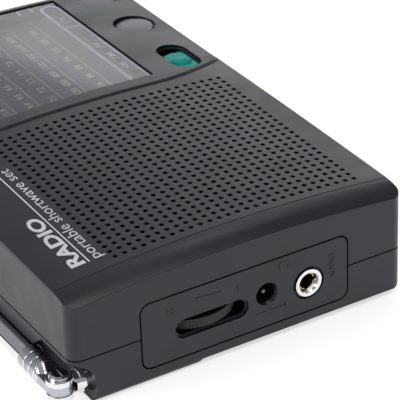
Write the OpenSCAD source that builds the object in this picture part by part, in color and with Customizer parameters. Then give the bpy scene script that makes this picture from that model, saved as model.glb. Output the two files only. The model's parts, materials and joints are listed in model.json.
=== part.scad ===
// Pocket shortwave receiver lying on its back.
// +X runs to the right seen from the front, +Y towards the top edge with the whip antenna, and
// +Z out of the front face. The origin is the centre of the plane that the back rests on.

/* [Cabinet] */
// Width of the cabinet, left to right
cab_w = 118; // [118:1:121]
// Height of the cabinet, bottom edge to top edge
cab_h = 75; // [75:0.5:76]
// Depth from the rest plane to the highest point of the speaker half
cab_d = 26.6; // [26.4:0.1:27]
// Radius of the four upright corners
corner_r = 2.5; // [2:0.25:3]
// Height of the seam between the two cabinet halves
seam_z = 10.4; // [10.2:0.1:10.6]
// Step up from the rest plane to the lower part of the back
land_h = 1; // [0.8:0.1:1.1]
// Distance from the left side to the step between speaker half and dial half
step_x = 63.5; // [63:0.25:64]
// Drop of the dial half below the speaker half
step_h = 0.7; // [0.5:0.1:0.8]

/* [Speaker grille] */
// Number of hole columns, left to right
hole_cols = 26; // [20:1:26]
// Number of hole rows, bottom to top
hole_rows = 27; // [20:1:27]
// Spacing of the hole columns
hole_pitch_x = 2.03; // [1.9:0.01:2.03]
// Spacing of the hole rows
hole_pitch_y = 2.08; // [1.9:0.01:2.08]
// Diameter of one hole
hole_d = 1.05; // [0.8:0.05:1.2]

/* [Controls] */
// Radius of the volume thumbwheel
volume_r = 10; // [9.6:0.1:10]
// Radius of the tuning thumbwheel
tuning_r = 12.6; // [12.2:0.1:12.8]
// Diameter of the round push buttons
button_d = 8.4; // [8:0.1:8.6]
// Travel of a push button
button_travel = 0.5; // [0.3:0.05:0.5]
// Travel of the power slider
power_travel = 2.4; // [2:0.1:2.4]
// Travel of the band slider over its nine stops
band_travel = 16; // [12:1:16]

/* [Whip antenna] */
// Outer radius of the largest tube
whip_r = 2.55; // [2.45:0.05:2.6]
// Length of the largest tube
whip_len = 92; // [88:1:92]
// Difference in radius from one tube to the next
whip_step = 0.35; // [0.33:0.01:0.36]
// Wall of each tube
whip_wall = 0.3; // [0.27:0.01:0.3]

/* [Hidden] */

abs_black = "#3e4144";
abs_inner = "#2e3033";
steel = "#c9cbce";
brass = "#b99a55";
board_green = "#1f6b45";
eps = 0.01;
big = 200;
fine = 96;
round_fn = 48;

// Cabinet
left_x = -cab_w / 2;
right_x = cab_w / 2;
wall = 2;
inner_r = corner_r - 1;
floor_z = 3.2;
dome_r = 342;
dome_tilt = 1.25;
step_face_x = left_x + step_x;
land_y = 9.5;
back_edge_y = 35.2;
front_half_wall = 1.8;
dial_ceiling_z = cab_d - 3.3;
bevel_r = 10.7;
bevel_in = 5.73;
bevel_top = 1.33;
edge_r = 2.2;
step_bend_r = 42;
step_bend_y = -17;
ridge_tiers = [[1.05, 0.45, 0.14], [0.65, 0.15, 0.27]];

// Grille
grille_x = left_x + 33.4;
grille_y = -4.2;
grille_w = 56;
grille_h = 58;

// Jack panel
panel_y = -0.8;
panel_z = 10.35;
panel_w = 46.4;
panel_h = 14.1;
panel_r = 1.9;
panel_t = 2.2;
panel_gap = 0.35;
slot_y = 7;
slot_z = 9.3;
slot_w = 16.4;
slot_h = 4.2;
ear_y = -15;
ear_z = 9.6;
ear_ring_r = 2.95;
ear_bore_r = 1.82;
dc_y = -5.4;
dc_z = 10.4;
dc_hole_r = 2.1;

// Volume control
volume_x = left_x + volume_r - 0.2;
volume_z = slot_z - 1;
volume_y = 7.7;
volume_t = 2;

// Dial
window_x0 = left_x + 68;
window_x1 = left_x + 114;
window_y0 = -20.5;
window_y1 = 31;
window_sunk = 0.45;
window_lip = 1;
flange_z0 = cab_d - 4.2;
flange_z1 = cab_d - 3.4;
plate_z0 = cab_d - 6;
plate_z1 = cab_d - 5.4;
needle_z0 = cab_d - 5.1;
needle_z1 = cab_d - 4.7;
pointer_x = window_x0 + 3;
needle_y0 = 13;
clip_y0 = 33.1;
clip_y1 = 33.8;
cord_posts = [[left_x + 66.2, 33.15], [right_x - 4, 33.15]];
cord_post_r = 0.7;
cord_gap = 0.04;
cord_z = 18.7;
cord_d = 0.5;
drum_x = left_x + 85;
drum_y = 9;
drum_r = 12.1;
drum_z0 = 17.7;
drum_z1 = 19.7;
tuning_x = right_x + 0.8 - tuning_r;
tuning_y = 6;
tuning_z0 = 7.6;
tuning_z1 = 10.2;
tuning_shaft_r = 3;

// Front controls
controls_y = -30.2;
button_x1 = left_x + 93.3;
button_x2 = left_x + 111;
button_top = cab_d - 2.25;
recess_z = dial_ceiling_z + 0.5;
power_x = left_x + 72.6;
power_slot_x = left_x + 73.8;
power_slot_w = 12.4;
power_slot_h = 5.8;
bump_r = 2.9;
band_y = -13;
band_z = 14.6;

// Boards
board_z0 = 5.2;
board_z1 = 6.4;
switch_z0 = 19.3;
switch_z1 = 20.2;

// Speaker
speaker_r = 24.6;
speaker_z1 = 22.4;
magnet_r = 12.4;
magnet_z0 = 12;
magnet_z1 = 16.8;

// Batteries
cell_r = 7.25;
cell_l = 50.5;
cell_y = -26.7;
cell_z = 10.2;
tub_x = 53;
tub_y0 = -34.05;
tub_y1 = -19.35;
tub_top = 17.6;
tub_wall = 1.15;
door_x = 51;
door_y1 = -18.6;
door_z1 = 2.4;

// Kickstand
stand_w = 44;
stand_y0 = -9;
stand_axis_y = 27.6;
stand_axis_z = 1.15;
stand_pin_r = 0.8;

// Whip antenna
whip_y = cab_h / 2 + 0.7;
whip_z = 3.4;
pivot_x = left_x + 4.2;
tube_x0 = left_x + 16.3;
channel_r = 2.85;
scoop_r = 6;
stud_r = 1.7;
collar_y = whip_y - 4.6;
tongue_t = 2;

screw_posts = [[left_x + 13, 27], [left_x + 61.5, 31.6], [left_x + 64, -15]];
board_posts = [[left_x + 28, 29.5], [right_x - 8, 27], [left_x + 82, -14]];
board_pegs = [[left_x + 83, -24.5], [left_x + 99.8, -24.5]];

// ---- shared shapes ----

// Rectangle with round corners, centred, from exact arcs
module rrect(w, h, r) {
    square([w - 2 * r, h], center = true);
    square([w, h - 2 * r], center = true);
    for (x = [-1, 1], y = [-1, 1])
        translate([x * (w / 2 - r), y * (h / 2 - r)]) circle(r = r, $fn = round_fn);
}

// Slot outline with round ends, centred, long side along the first axis
module stadium(w, h) {
    square([w - h, h], center = true);
    for (x = [-1, 1]) translate([x * (w - h) / 2, 0]) circle(r = h / 2, $fn = round_fn);
}

// Block between two corners
module block(x0, x1, y0, y1, z0, z1) {
    translate([x0, y0, z0]) cube([x1 - x0, y1 - y0, z1 - z0]);
}

// Upright cylinder between two heights
module post(x, y, r, z0, z1) {
    translate([x, y, z0]) cylinder(r = r, h = z1 - z0, $fn = round_fn);
}

// Cylinder along +X from x0 to x1
module rod_x(y, z, r, x0, x1) {
    translate([x0, y, z]) rotate([0, 90, 0]) cylinder(r = r, h = x1 - x0, $fn = round_fn);
}

// Cylinder along +Y from y0 to y1
module rod_y(x, z, r, y0, y1) {
    translate([x, y0, z]) rotate([-90, 0, 0]) cylinder(r = r, h = y1 - y0, $fn = round_fn);
}

// Stretches a 2-D (Y, Z) outline along X
module along_x(x0, x1) {
    translate([x0, 0, 0]) rotate([90, 0, 90]) linear_extrude(x1 - x0) children();
}

// Stretches a 2-D (X, Z) outline along Y
module along_y(y0, y1) {
    translate([0, y1, 0]) rotate([90, 0, 0]) linear_extrude(y1 - y0) children();
}

// Solid below the domed face, lowered by drop; tilt slopes it down to the left
module dome(drop, tilt) {
    translate([step_face_x, 0, cab_d - drop])
        rotate([0, -tilt, 0])
            translate([-big / 2, 0, -dome_r])
                rotate([0, 90, 0]) cylinder(r = dome_r, h = big, $fn = 720);
}

// Plan of the cabinet
module plan(inset = 0) {
    rrect(cab_w - 2 * inset, cab_h - 2 * inset, corner_r - inset / 2);
}

// ---- cabinet ----

// Plan of the dial half; its left edge bends towards +X near the bottom, and grow moves it out
module dial_plan(grow = 0) {
    translate([step_face_x - grow, step_bend_y]) square([cab_w, cab_h]);
    translate([step_face_x + step_bend_r, step_bend_y]) circle(r = step_bend_r + grow, $fn = 180);
}

// Domed face turned about the dome's axis, with soft bevels along the left and right edges
module face_body() {
    translate([0, 0, cab_d - dome_r]) rotate([0, 90, 0]) rotate_extrude($fn = 720) intersection() {
        polygon([[300, left_x - 1], [300, right_x + 1], [dome_r, right_x + 1], [dome_r, step_face_x],
                 [dome_r - (step_x + 1) * tan(dome_tilt), left_x - 1]]);
        union() {
            translate([dome_r - bevel_top - bevel_r, left_x + bevel_in]) circle(r = bevel_r, $fn = fine);
            translate([dome_r - step_h - bevel_r, right_x - bevel_in]) circle(r = bevel_r, $fn = fine);
            translate([290, left_x + bevel_in]) square([dome_r - 280, cab_w - 2 * bevel_in]);
            translate([290, left_x - 1]) square([dome_r - 293.1, cab_w + 2]);
        }
    }
}

// Low rounded ridge along the step, in two tiers
module step_ridge() {
    for (t = ridge_tiers) intersection() {
        translate([0, 0, cab_d - 3]) linear_extrude(4) difference() {
            dial_plan(t[0]);
            dial_plan(-t[1]);
        }
        dome(-t[2], dome_tilt);
    }
}

// Front half before it is hollowed: plan, domed face, soft edges and the sunken dial half
module front_solid() {
    intersection() {
        translate([0, 0, seam_z]) linear_extrude(cab_d - seam_z + 1) plan();
        union() {
            difference() {
                face_body();
                difference() {
                    translate([0, 0, cab_d - 6]) linear_extrude(7) dial_plan();
                    dome(step_h, 0);
                }
            }
            step_ridge();
        }
        along_x(left_x - 1, right_x + 1) {
            translate([0, (seam_z + cab_d) / 2 - 1.65]) rrect(cab_h, cab_d - seam_z, edge_r);
            translate([-cab_h / 2 + edge_r, seam_z]) square([cab_h - 2 * edge_r, cab_d]);
            translate([-cab_h / 2, seam_z - 1]) square([cab_h, 8]);
        }
    }
}

// Round recess in the face for a push button, with the cap's hole in its floor
module button_recess(x) {
    post(x, controls_y, button_d / 2 + 0.2, dial_ceiling_z - 1, cab_d);
    post(x, controls_y, button_d / 2 + 0.55, recess_z, cab_d);
}

module front_cabinet() {
    color(abs_black) difference() {
        union() {
            difference() {
                front_solid();
                // speaker half hollow, following the dome
                intersection() {
                    translate([0, 0, seam_z - 1]) linear_extrude(cab_d) plan(wall);
                    dome(front_half_wall, dome_tilt);
                    block(left_x, step_face_x - 1.5, -cab_h, cab_h, 0, cab_d);
                }
                // dial half hollow, with a flat ceiling
                intersection() {
                    translate([0, 0, seam_z - 1]) linear_extrude(dial_ceiling_z - seam_z + 1) plan(wall);
                    block(step_face_x - 1.6, right_x, -cab_h, cab_h, 0, cab_d);
                }
            }
            for (p = screw_posts) post(p[0], p[1], 2.4, seam_z, dial_ceiling_z);
            for (p = cord_posts) post(p[0], p[1], cord_post_r, cord_z - 0.8, dial_ceiling_z + 0.2);
            // pegs and shoulders for the switch board
            for (p = board_pegs) {
                post(p[0], p[1], 1.7, switch_z1, dial_ceiling_z + 0.2);
                post(p[0], p[1], 0.85, switch_z0 - 0.4, switch_z1 + 0.2);
            }
            // ribs that carry the dial plate
            block(step_face_x + 0.9, step_face_x + 3, 0, 6, plate_z1, dial_ceiling_z + 0.2);
            block(right_x - 2.8, right_x - 1.5, -2, 6, plate_z1, dial_ceiling_z + 0.2);
            // four ribs that locate the speaker
            difference() {
                for (a = [0 : 90 : 270]) translate([grille_x, grille_y, 0]) rotate([0, 0, a])
                    block(20, a % 180 == 0 ? 29.5 : 31.5, -3, 3, speaker_z1 - 1.6, 24);
                post(grille_x, grille_y, speaker_r + 0.2, speaker_z1 - 3, cab_d);
            }
        }
        // screw pilot holes
        for (p = screw_posts) post(p[0], p[1], 0.85, seam_z - 1, seam_z + 8);
        // grille and dial openings
        difference() {
            block(grille_x - grille_w / 2, grille_x + grille_w / 2, grille_y - grille_h / 2,
                  grille_y + grille_h / 2, 18, cab_d + 1);
            dome(front_half_wall, dome_tilt);
        }
        block(window_x0, window_x1, window_y0, window_y1, dial_ceiling_z - 1, cab_d + 1);
        // control openings
        for (x = [button_x1, button_x2]) button_recess(x);
        translate([power_slot_x, controls_y, dial_ceiling_z - 1])
            linear_extrude(4) stadium(power_slot_w, power_slot_h);
        translate([power_slot_x, controls_y, recess_z - 0.1])
            linear_extrude(4) stadium(power_slot_w + 0.2, power_slot_h + 1.2);
        // jack panel seat, band slot and tuning slot, each shared with the rear half
        panel_seat();
        side_slots();
    }
}

module speaker_grille() {
    x0 = grille_x - hole_pitch_x * (hole_cols - 1) / 2;
    y0 = grille_y - hole_pitch_y * (hole_rows - 1) / 2;
    color(abs_black) intersection() {
        difference() {
            front_solid();
            intersection() {
                dome(front_half_wall, dome_tilt);
                block(grille_x - grille_w / 2 - 1, step_face_x - 1.5, -cab_h, cab_h, 0, cab_d);
            }
        }
        translate([0, 0, 18]) linear_extrude(cab_d - 17) difference() {
            translate([grille_x, grille_y]) square([grille_w, grille_h], center = true);
            for (i = [0 : hole_cols - 1], j = [0 : hole_rows - 1])
                translate([x0 + i * hole_pitch_x, y0 + j * hole_pitch_y]) circle(d = hole_d, $fn = 16);
        }
    }
}

// Opening for the jack panel and its backing ledge, in the left wall
module panel_seat() {
    translate([left_x, panel_y, panel_z]) rotate([90, 0, 90]) {
        translate([0, 0, -1]) linear_extrude(panel_t + 1.2)
            rrect(panel_w + 2 * panel_gap, panel_h + 2 * panel_gap, panel_r + panel_gap);
    }
}

// Slots in the right wall for the tuning wheel and the band knob
module side_slots() {
    block(right_x - 4, right_x + 1, tuning_y - 9.5, tuning_y + 9.5, tuning_z0 - 0.7, tuning_z1 + 0.7);
    block(right_x - 4, right_x + 1, band_y - 2, band_y + band_travel + 3, band_z - 1.3, band_z + 1.3);
}

// Rear half before it is hollowed
module rear_solid() {
    h = seam_z;
    intersection() {
        // the last stretch is drawn in, which leaves a fine groove along the seam
        union() {
            linear_extrude(h - 0.3) plan();
            linear_extrude(h) plan(0.3);
        }
        along_x(left_x - 1, right_x + 1) difference() {
            union() {
                translate([0, 5 + land_h]) rrect(cab_h, 10, edge_r);
                translate([-cab_h / 2, 4]) square([cab_h, h]);
                translate([land_y, 0]) square([back_edge_y - land_y, 3]);
                translate([0, land_h]) square([back_edge_y, 3]);
            }
            // chamfered start of the raised land
            polygon([[land_y - 1, -eps], [land_y + 0.8, -eps], [land_y, land_h], [land_y - 1, land_h]]);
        }
        along_y(-cab_h, cab_h) {
            translate([0, 5]) rrect(cab_w, 10, 1.2);
            translate([left_x, 4]) square([cab_w, h]);
        }
    }
}

// Battery tub that holds the cells, above the door
module tub(outset, x0, z0, z1) {
    block(-x0 - outset, x0 + outset, tub_y0 - outset, tub_y1 + outset, z0, z1);
}

module rear_cabinet() {
    color(abs_black) union() {
        rear_shell();
        // pad inside the stand's window, level with the rest plane
        post(0, 0, 3, 0, 2.3);
    }
}

module rear_shell() {
    difference() {
        union() {
            difference() {
                rear_solid();
                difference() {
                    translate([0, 0, floor_z]) linear_extrude(seam_z) plan(wall);
                    // wall round the whip channel and the swivel pocket
                    rod_x(whip_y, whip_z, channel_r + 1.3, left_x, right_x);
                    rod_x(whip_y, whip_z, scoop_r + 1.3, left_x, left_x + 15.5);
                    block(pivot_x - 3.4, pivot_x + 3.4, 26, cab_h / 2, 0, whip_z + 3.4);
                }
            }
            tub(tub_wall, tub_x, floor_z - 1, tub_top + tub_wall);
            for (p = screw_posts) post(p[0], p[1], 2.4, floor_z - 1, seam_z);
            for (p = board_posts) post(p[0], p[1], 2, floor_z - 1, board_z0);
            post(tuning_x, tuning_y, 2.2, floor_z - 1, board_z0 + 1.6);
            for (x = [-45, 45]) post(x, -15.2, 3, 0, floor_z);
        }
        // inside of the tub, and the door's seat with its side grooves
        tub(0, tub_x, door_z1, tub_top);
        door_shape(0.15);
        // screws
        for (p = screw_posts) {
            post(p[0], p[1], 1.05, -1, seam_z + 1);
            post(p[0], p[1], 2, -1, land_h + 1.9);
        }
        for (p = board_posts) post(p[0], p[1], 0.75, 1.9, seam_z);
        post(tuning_x, tuning_y, 1, 2, seam_z);
        // whip channel, swivel pocket and the stud's bore
        rod_x(whip_y, whip_z, channel_r, left_x - 1, right_x + 1);
        block(left_x - 1, right_x + 1, back_edge_y + 0.15, cab_h, -1, whip_z);
        rod_x(whip_y, whip_z, scoop_r, left_x - 1, left_x + 12);
        translate([left_x + 12, whip_y, whip_z]) rotate([0, 90, 0])
            cylinder(r1 = scoop_r, r2 = channel_r, h = 4, $fn = round_fn);
        rod_y(pivot_x, whip_z, stud_r + 0.05, 24, cab_h);
        rod_y(pivot_x, whip_z, 2.95, 26.1, 27.1);
        block(pivot_x - 2.9, pivot_x + 2.9, 24, 28, whip_z - 0.1, seam_z + 1);
        // kickstand recess, finger notch and pin bores
        block(-stand_w / 2 - 0.3, stand_w / 2 + 0.3, stand_y0 - 0.3, stand_axis_y + 1.1, -1, 2.15);
        block(-7, 7, stand_y0 - 3, stand_y0, -1, 2.15);
        rod_x(stand_axis_y, stand_axis_z, stand_pin_r + 0.05, -stand_w / 2 - 1.8, stand_w / 2 + 1.8);
        panel_seat();
        side_slots();
        // openings through the tub's ends for the contact tails
        for (s = [-1, 1]) block(s * (tub_x + 0.6) - 1.2, s * (tub_x + 0.6) + 1.2, -21.6, -20.4, 8, 9.4);
    }
}

module jack_panel() {
    color(abs_black) difference() {
        union() {
            translate([left_x, panel_y, panel_z]) rotate([90, 0, 90]) {
                linear_extrude(panel_t) rrect(panel_w, panel_h, panel_r);
            }
            // flange behind the wall, open at the floor
            intersection() {
                translate([left_x + wall + 0.05, panel_y, panel_z]) rotate([90, 0, 90])
                    linear_extrude(0.85) difference() {
                        rrect(panel_w + 2.4, panel_h + 2.4, panel_r);
                        rrect(panel_w - 2.4, panel_h - 2.4, panel_r);
                    }
                block(left_x, 0, -cab_h, cab_h, floor_z + 0.1, cab_d);
            }
        }
        // volume slot with a dished rim
        translate([left_x, slot_y, slot_z]) rotate([90, 0, 90]) {
            translate([0, 0, -1]) linear_extrude(5) stadium(slot_w - 0.9, slot_h - 0.9);
            translate([0, 0, -1]) linear_extrude(1.6) stadium(slot_w, slot_h);
        }
        // earphone recess
        rod_x(ear_y, ear_z, ear_ring_r + 0.6, left_x - 1, left_x + 0.9);
        rod_x(ear_y, ear_z, ear_ring_r + 0.1, left_x - 1, left_x + 5);
        // power inlet with a coned mouth
        rod_x(dc_y, dc_z, dc_hole_r, left_x - 1, left_x + 5);
        translate([left_x - eps, dc_y, dc_z]) rotate([0, 90, 0])
            cylinder(r1 = dc_hole_r + 0.4, r2 = dc_hole_r, h = 0.7, $fn = round_fn);
    }
}

// ---- dial ----

module dial_window() {
    color("#8d8e96", 0.6) union() {
        intersection() {
            block(window_x0 + 0.1, window_x1 - 0.1, window_y0 + 0.1, window_y1 - 0.1, flange_z0, cab_d);
            dome(step_h + window_sunk, 0);
        }
        block(window_x0 - window_lip, window_x1 + window_lip, window_y0 - window_lip,
              window_y1 + window_lip - 0.6, flange_z0, flange_z1);
    }
}

module dial_plate() {
    color("#4b4b52") union() {
        block(window_x0 - 1.2, window_x1 + 1.2, window_y0 - 0.6, window_y1 + 0.6, plate_z0, plate_z1);
        block(step_face_x + 0.9, window_x0 - 1, 0, 6, plate_z0, plate_z1);
        block(window_x1 + 1, right_x - 2.3, -2, 6, plate_z0, plate_z1);
    }
}

module dial_pointer() {
    color("#b3261e") union() {
        block(pointer_x - 0.35, pointer_x + 0.35, needle_y0, clip_y1, needle_z0, needle_z1);
        block(pointer_x - 0.35, pointer_x + 0.35, clip_y0, clip_y1, cord_z - 0.5, needle_z1);
        block(pointer_x - 2, pointer_x + 2, clip_y0, clip_y1, cord_z - 0.5, cord_z + 0.5);
    }
}

// Circles that the dial cord runs round, each grown by extra
module cord_turns(extra) {
    for (p = cord_posts) translate([p[0], p[1]]) circle(r = cord_post_r + extra, $fn = 24);
    translate([drum_x, drum_y]) circle(r = drum_r + extra, $fn = 64);
    translate([tuning_x, tuning_y]) circle(r = tuning_shaft_r + extra, $fn = 32);
}

// Endless cord round the drum, the tuning shaft and two guide posts
module dial_cord() {
    color("#b9b3a0") translate([0, 0, cord_z - cord_d / 2]) linear_extrude(cord_d) difference() {
        hull() cord_turns(cord_gap + cord_d);
        hull() cord_turns(cord_gap);
    }
}

module dial_drum() {
    color("#d9d6cc") translate([drum_x, drum_y, 0]) difference() {
        union() {
            translate([0, 0, drum_z0]) cylinder(r = drum_r, h = drum_z1 - drum_z0, $fn = fine);
            translate([0, 0, drum_z0]) cylinder(r = drum_r + 1, h = 0.5, $fn = fine);
            translate([0, 0, drum_z1 - 0.5]) cylinder(r = drum_r + 1, h = 0.5, $fn = fine);
        }
        translate([0, 0, drum_z0 - 1]) cylinder(r = 1.3, h = 5, $fn = round_fn);
        for (a = [0 : 60 : 300]) rotate([0, 0, a]) translate([7, 0, drum_z0 - 1])
            cylinder(r = 2.2, h = 5, $fn = 32);
    }
}

module drum_screw() {
    color(steel) union() {
        post(drum_x, drum_y, 2, drum_z1, drum_z1 + 0.7);
        post(drum_x, drum_y, 1.25, 16.2, drum_z1 + 0.3);
    }
}

// Thumbwheel with a grooved rim
module thumbwheel(r, t, grooves, groove_r) {
    difference() {
        cylinder(r = r, h = t, $fn = fine);
        for (k = [0 : grooves - 1]) rotate([0, 0, k * 360 / grooves])
            translate([r + groove_r * 0.25, 0, -1]) cylinder(r = groove_r, h = t + 2, $fn = 16);
    }
}

module tuning_wheel() {
    color(abs_inner) translate([tuning_x, tuning_y, 0]) difference() {
        union() {
            translate([0, 0, tuning_z0]) thumbwheel(tuning_r, tuning_z1 - tuning_z0, 96, 0.34);
            cylinder_between(tuning_shaft_r, tuning_z1 - 0.1, 19.6);
            cylinder_between(tuning_shaft_r + 0.8, 19.3, 19.8);
            cylinder_between(tuning_shaft_r + 0.8, tuning_z1 - 0.1, 17.9);
        }
        translate([0, 0, tuning_z0 - 1]) cylinder(r = 1.05, h = 10, $fn = round_fn);
    }
}

// Cylinder on the local Z axis between two heights
module cylinder_between(r, z0, z1) {
    translate([0, 0, z0]) cylinder(r = r, h = z1 - z0, $fn = round_fn);
}

module tuning_pin() {
    color(steel) post(tuning_x, tuning_y, 0.99, 2, 15.4);
}

module tuning_capacitor() {
    color("#d8d5c9") difference() {
        union() {
            block(drum_x - 10, drum_x + 8, drum_y - 10, drum_y + 10, board_z1, 16.4);
            post(drum_x, drum_y, 3, 16.4, 17.4);
        }
        post(drum_x, drum_y, 1.3, 12, 18);
    }
}

// ---- volume ----

module volume_wheel() {
    color(abs_inner) translate([volume_x, volume_y, volume_z]) difference() {
        thumbwheel(volume_r, volume_t, 100, 0.26);
        translate([0, 0, -1]) cylinder(r = 0.85, h = 5, $fn = round_fn);
        translate([0, 0, volume_t - 0.7]) cylinder(r = 1.9, h = 1, $fn = round_fn);
    }
}

module volume_screw() {
    color(steel) union() {
        post(volume_x, volume_y, 1.7, volume_z + volume_t - 0.7, volume_z + volume_t - 0.1);
        post(volume_x, volume_y, 0.8, 7, volume_z + volume_t - 0.5);
    }
}

module volume_pot() {
    color("#8c6a3c") difference() {
        post(volume_x, volume_y, 7, board_z1, volume_z - 0.15);
        post(volume_x, volume_y, 0.85, board_z1 + 0.4, volume_z + 1);
    }
}

// ---- front controls ----

module power_slider() {
    color("#20a596") translate([power_x, controls_y, 0]) union() {
        translate([0, 0, dial_ceiling_z - 0.7]) linear_extrude(1) stadium(9.6, 5.2);
        translate([0, 0, dial_ceiling_z - 0.7]) linear_extrude(0.5) rrect(11, 7.6, 0.8);
        // rounded bump for the finger
        intersection() {
            union() {
                for (y = [-0.6, 0.6]) translate([0, y, button_top - bump_r]) sphere(r = bump_r, $fn = fine);
                translate([0, 0.6, button_top - bump_r]) rotate([90, 0, 0])
                    cylinder(r = bump_r, h = 1.2, $fn = fine);
            }
            translate([0, 0, dial_ceiling_z - 0.6]) linear_extrude(3) stadium(9.6, 5.2);
        }
    }
}

module power_lever() {
    color(steel) block(power_x - 1, power_x + 1, controls_y - 1, controls_y + 1, 21, dial_ceiling_z - 0.7);
}

module power_switch() {
    color(steel) difference() {
        block(power_slot_x - 6, power_slot_x + 6, controls_y - 2.2, controls_y + 2.2, switch_z1, 22);
        block(power_x - 1.2, power_x + power_travel + 1.2, controls_y - 1.2, controls_y + 1.2, 20.8, 23);
    }
}

module band_knob() {
    color(abs_inner) union() {
        block(right_x - 1.6, right_x + 0.9, band_y - 1.8, band_y + 2.8, band_z - 1.1, band_z + 1.1);
        block(right_x - 3.2, right_x - 2.4, band_y - 3, band_y + 4, band_z - 2.4, band_z + 2.4);
        block(right_x - 2.5, right_x - 1.5, band_y - 1.8, band_y + 2.8, band_z - 1.1, band_z + 1.1);
    }
}

module band_lever() {
    color(steel) block(right_x - 5.6, right_x - 3.2, band_y - 0.4, band_y + 1.4, band_z - 0.7, band_z + 0.7);
}

// Switch body with the lever's slot, on one leg that stands on the board
module band_switch() {
    color(steel) difference() {
        union() {
            block(right_x - 7.2, right_x - 3.7, band_y - 3.5, band_y + band_travel + 5.5, 11.2, band_z + 1.8);
            block(right_x - 7.2, right_x - 3.7, band_y - 3.5, band_y - 1.5, board_z1, 11.3);
        }
        block(right_x - 5.9, right_x, band_y - 0.7, band_y + band_travel + 1.7, band_z - 1, band_z + 1);
    }
}

module button_cap(x) {
    color("#9b989e") translate([x, controls_y, 0]) union() {
        // gently domed cap
        intersection() {
            cylinder_between(button_d / 2, dial_ceiling_z - 0.5, button_top + 1);
            translate([0, 0, button_top - 22]) sphere(r = 22, $fn = 180);
        }
        cylinder_between(button_d / 2 + 0.5, dial_ceiling_z - 0.8, dial_ceiling_z - 0.2);
    }
}

module button_cap_1() { button_cap(button_x1); }

module button_cap_2() { button_cap(button_x2); }

module tact_plunger(x) {
    color("#26282a") post(x, controls_y, 1.5, 21.5, dial_ceiling_z - 0.8);
}

module tact_plunger_1() { tact_plunger(button_x1); }

module tact_plunger_2() { tact_plunger(button_x2); }

module tact_switches() {
    color(steel) for (x = [button_x1, button_x2]) difference() {
        block(x - 3, x + 3, controls_y - 3, controls_y + 3, switch_z1, 21.85);
        post(x, controls_y, 1.6, 20.8, 23);
    }
}

module switch_board() {
    color(board_green) difference() {
        block(step_face_x + 0.8, right_x - 2.6, -34.8, -20.8, switch_z0, switch_z1);
        for (p = board_pegs) post(p[0], p[1], 0.9, 0, cab_d);
    }
}

// ---- sockets ----

module earphone_socket() {
    color("#1d1e20") difference() {
        block(left_x + 2.4, left_x + 14, ear_y - 3.1, ear_y + 3.1, board_z1, ear_z + 3.4);
        rod_x(ear_y, ear_z, ear_bore_r, left_x, left_x + 13);
        // windows for the contact springs
        block(left_x + 6, left_x + 12, ear_y - 0.8, ear_y + 0.8, ear_z + 1, ear_z + 4);
    }
}

module earphone_ring() {
    color(steel) translate([left_x - 0.15, ear_y, ear_z]) rotate([0, 90, 0]) difference() {
        cylinder(r = ear_ring_r, h = 2.55, $fn = fine);
        translate([0, 0, -1]) cylinder(r = ear_bore_r, h = 5, $fn = fine);
        translate([0, 0, -eps]) cylinder(r1 = 2.25, r2 = ear_bore_r, h = 0.9, $fn = fine);
    }
}

module earphone_contacts() {
    color(brass) union() {
        block(left_x + 6.2, left_x + 11.8, ear_y - 0.6, ear_y + 0.6, ear_z + 2.1, ear_z + 2.35);
        block(left_x + 11.5, left_x + 11.8, ear_y - 0.6, ear_y + 0.6, ear_z + 2.1, ear_z + 4.2);
    }
}

module dc_socket() {
    color("#1d1e20") difference() {
        block(left_x + 2.4, left_x + 12.4, dc_y - 3.2, dc_y + 3.2, board_z1, dc_z + 3.2);
        rod_x(dc_y, dc_z, dc_hole_r, left_x, left_x + 11);
        post(volume_x, volume_y, volume_r + 0.4, volume_z - 0.5, volume_z + volume_t + 0.5);
    }
}

module dc_pin() {
    color(steel) union() {
        rod_x(dc_y, dc_z, 0.6, left_x + 1.6, left_x + 11);
        translate([left_x + 1.6, dc_y, dc_z]) sphere(r = 0.6, $fn = 32);
    }
}

// ---- boards and what is on them ----

module main_board() {
    color(board_green) difference() {
        block(left_x + 3, right_x - 3, -17.6, 33, board_z0, board_z1);
        block(left_x, left_x + 17, 22, 40, 0, cab_d);
        for (p = screw_posts) post(p[0], p[1], 2.7, 0, cab_d);
        for (p = board_posts) post(p[0], p[1], 0.9, 0, cab_d);
        post(tuning_x, tuning_y, 2.5, 0, cab_d);
    }
}

module board_screws() {
    color(steel) for (p = board_posts) {
        post(p[0], p[1], 0.7, 2.2, board_z1 + 0.1);
        post(p[0], p[1], 1.5, board_z1, board_z1 + 0.9);
    }
}

module integrated_circuits() {
    color("#1b1b1d") union() {
        block(-30, -11, 16, 22.5, board_z1, board_z1 + 3);
        block(-6, 6, 8, 14, board_z1, board_z1 + 2.4);
    }
}

module coil_cans() {
    color(steel) for (p = [[12, -12], [21, -6.5], [31, -12], [39, -12]])
        block(p[0] - 3.5, p[0] + 3.5, p[1] - 3.5, p[1] + 3.5, board_z1, board_z1 + 8);
}

module electrolytic_capacitors() {
    color("#23314f") for (p = [[-14, -13], [-7, -13], [-2, -6], [-2, 20]])
        post(p[0], p[1], 2.5, board_z1, 11.4);
}

module ferrite_rod() {
    color("#3a3632") rod_x(30, 13.2, 3.9, left_x + 20, left_x + 58.5);
}

module ferrite_coils() {
    color("#b5622d") for (x = [left_x + 22, left_x + 46]) difference() {
        union() {
            rod_x(30, 13.2, 4.5, x, x + 11);
            // foot that holds the rod above the board
            block(x + 8, x + 10.5, 26.5, 32.8, board_z1, 12);
        }
        rod_x(30, 13.2, 3.9, x - 1, x + 12);
    }
}

// ---- speaker ----

module speaker_frame() {
    color(steel) translate([grille_x, grille_y, 0]) rotate_extrude($fn = fine)
        polygon([[speaker_r, speaker_z1 - 1], [speaker_r, speaker_z1], [22, speaker_z1],
                 [21.4, speaker_z1 - 0.6], [13.2, 20.2], [12.8, 20.2], [12.8, 17.6], [5, 17.6],
                 [5, 16.8], [13.3, 16.8], [13.3, 19.6], [21.8, speaker_z1 - 1]]);
}

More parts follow.
